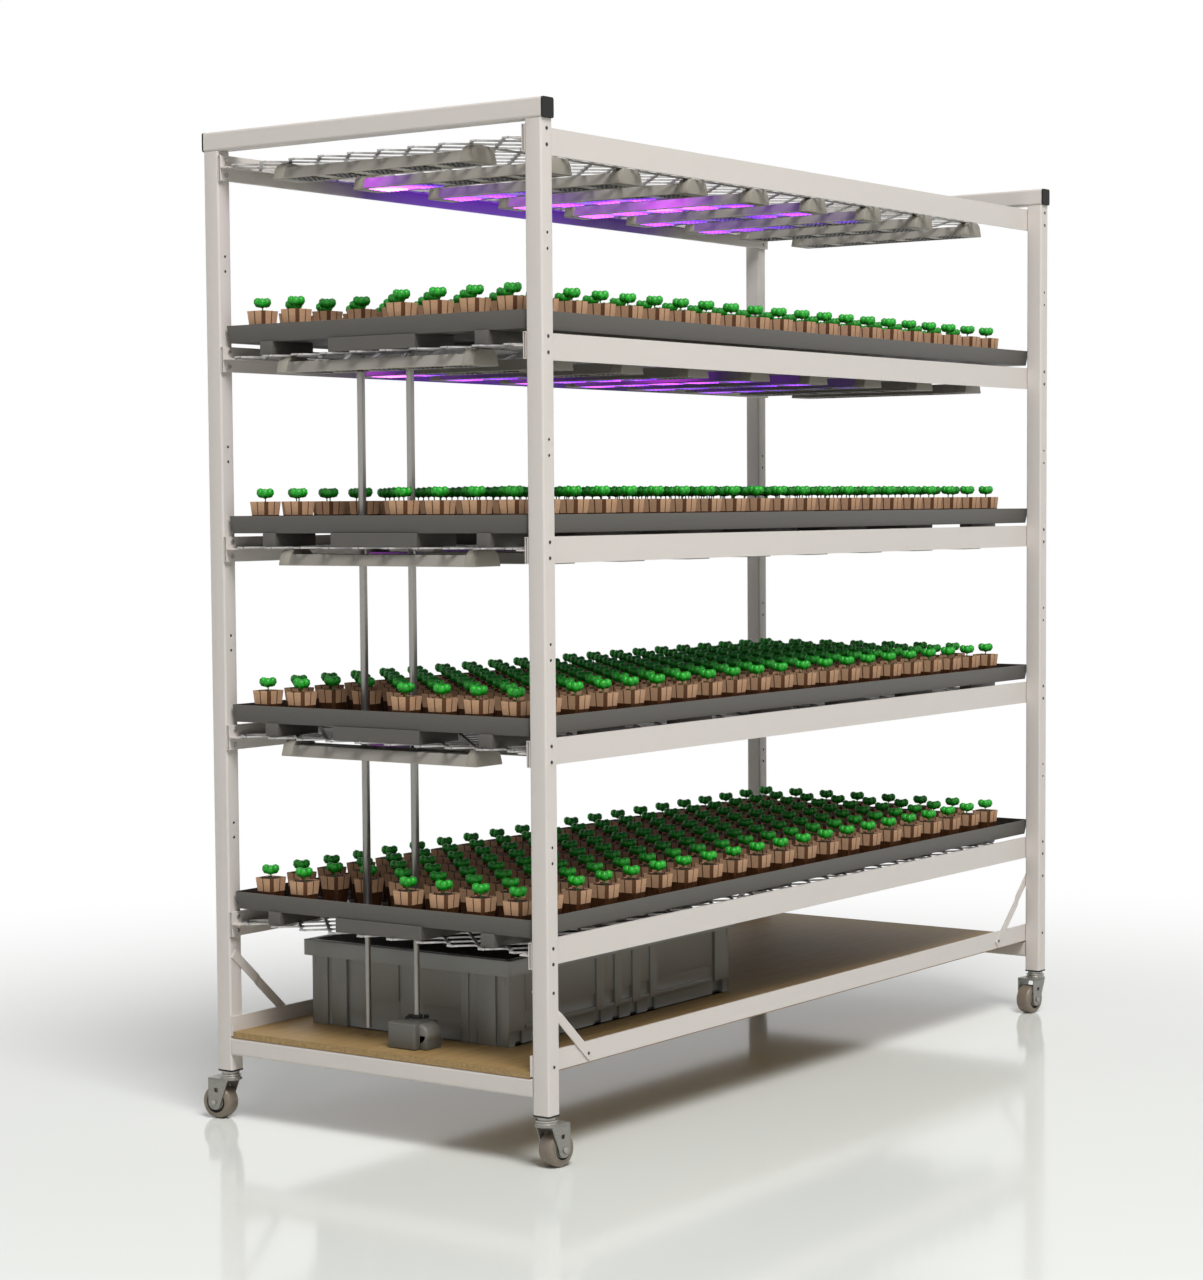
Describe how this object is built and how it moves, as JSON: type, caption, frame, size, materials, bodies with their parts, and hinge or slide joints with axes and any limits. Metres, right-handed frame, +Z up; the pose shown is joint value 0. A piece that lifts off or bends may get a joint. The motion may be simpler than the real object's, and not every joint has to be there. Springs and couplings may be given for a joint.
{
  "type": "rolling grow bench",
  "caption": "Tall rolling grow bench with tiered mesh shelves, flood trays of potted seedlings, hanging lights, a plywood bottom deck with reservoir tub and pump, and swivel casters.",
  "frame": {"origin": "on the floor, in the middle of the bench's footprint as its casters stand, 18 mm behind the middle of the four posts", "axes": "+Z up, X along the long side, -Y is the front; the pump and tub are at the -X end"},
  "size_m": [2.5008, 1.0752, 2.4013],
  "materials": {
    "frame_paint": "light warm grey powder coat",
    "black_plastic": "black moulded plastic",
    "mesh_metal": "expanded metal, grey",
    "tray_plastic": "dark grey formed sheet",
    "light_metal": "satin aluminium housing",
    "crop": "peat pots with green seedlings",
    "plywood": "bare plywood",
    "tub_plastic": "dark grey moulded plastic",
    "pump_plastic": "dark grey moulded plastic",
    "pipe_metal": "grey pipe",
    "zinc_plate": "zinc plated pressed steel",
    "wheel_rubber": "taupe solid tyre"
  },
  "bodies": {
    "bench": {"post_front_left": "frame_paint", "post_front_right": "frame_paint", "post_back_left": "frame_paint", "post_back_right": "frame_paint", "top_rail_left": "frame_paint", "top_rail_right": "frame_paint", "top_cap_front_left": "black_plastic", "top_cap_front_right": "black_plastic", "top_cap_back_left": "black_plastic", "top_cap_back_right": "black_plastic", "shelf_rail_front_1": "frame_paint", "shelf_rail_back_1": "frame_paint", "shelf_rail_front_2": "frame_paint", "shelf_rail_back_2": "frame_paint", "shelf_rail_front_3": "frame_paint", "shelf_rail_back_3": "frame_paint", "shelf_rail_front_4": "frame_paint", "shelf_rail_back_4": "frame_paint", "shelf_rail_front_5": "frame_paint", "shelf_rail_back_5": "frame_paint", "mesh_deck_1": "mesh_metal", "mesh_deck_2": "mesh_metal", "mesh_deck_3": "mesh_metal", "mesh_deck_4": "mesh_metal", "mesh_deck_5": "mesh_metal", "flood_tray_2": "tray_plastic", "flood_tray_3": "tray_plastic", "flood_tray_4": "tray_plastic", "flood_tray_5": "tray_plastic", "light_bank_1": "light_metal", "light_bank_2": "light_metal", "light_bank_3": "light_metal", "light_bank_4": "light_metal", "crop_2": "crop", "crop_3": "crop", "crop_4": "crop", "crop_5": "crop", "deck_rail_front": "frame_paint", "deck_rail_back": "frame_paint", "end_rail_left": "frame_paint", "end_rail_right": "frame_paint", "deck_board": "plywood", "brace_front_left": "frame_paint", "brace_front_right": "frame_paint", "brace_back_left": "frame_paint", "brace_back_right": "frame_paint", "reservoir_tub": "tub_plastic", "pump": "pump_plastic", "supply_pipe": "pipe_metal", "drain_pipe": "pipe_metal"},
    "swivel_front_left": {"caster_fork_front_left": "zinc_plate"},
    "wheel_front_left": {"caster_wheel_front_left": "wheel_rubber"},
    "swivel_front_right": {"caster_fork_front_right": "zinc_plate"},
    "wheel_front_right": {"caster_wheel_front_right": "wheel_rubber"},
    "swivel_back_left": {"caster_fork_back_left": "zinc_plate"},
    "wheel_back_left": {"caster_wheel_back_left": "wheel_rubber"},
    "swivel_back_right": {"caster_fork_back_right": "zinc_plate"},
    "wheel_back_right": {"caster_wheel_back_right": "wheel_rubber"}
  },
  "joints": [
    {"name": "swivel_front_left", "type": "hinge", "parent": "bench", "child": "swivel_front_left", "pos_m": [-1.2137, -0.50091, 0.12419], "axis": [0, 0, 1], "continuous": true},
    {"name": "wheel_front_left", "type": "hinge", "parent": "swivel_front_left", "child": "wheel_front_left", "pos_m": [-1.18293, -0.50469, 0.04119], "axis": [0.1219, 0.9925, 0], "continuous": true},
    {"name": "swivel_front_right", "type": "hinge", "parent": "bench", "child": "swivel_front_right", "pos_m": [1.2137, -0.50091, 0.12419], "axis": [0, 0, 1], "continuous": true},
    {"name": "wheel_front_right", "type": "hinge", "parent": "swivel_front_right", "child": "wheel_front_right", "pos_m": [1.18293, -0.49714, 0.04119], "axis": [-0.1219, -0.9925, 0], "continuous": true},
    {"name": "swivel_back_left", "type": "hinge", "parent": "bench", "child": "swivel_back_left", "pos_m": [-1.2137, 0.46429, 0.12419], "axis": [0, 0, 1], "continuous": true},
    {"name": "wheel_back_left", "type": "hinge", "parent": "swivel_back_left", "child": "wheel_back_left", "pos_m": [-1.21748, 0.49506, 0.04119], "axis": [-0.9925, -0.1219, 0], "continuous": true},
    {"name": "swivel_back_right", "type": "hinge", "parent": "bench", "child": "swivel_back_right", "pos_m": [1.2137, 0.46429, 0.12419], "axis": [0, 0, 1], "continuous": true},
    {"name": "wheel_back_right", "type": "hinge", "parent": "swivel_back_right", "child": "wheel_back_right", "pos_m": [1.21748, 0.49506, 0.04119], "axis": [-0.9925, 0.1219, 0], "continuous": true}
  ]
}
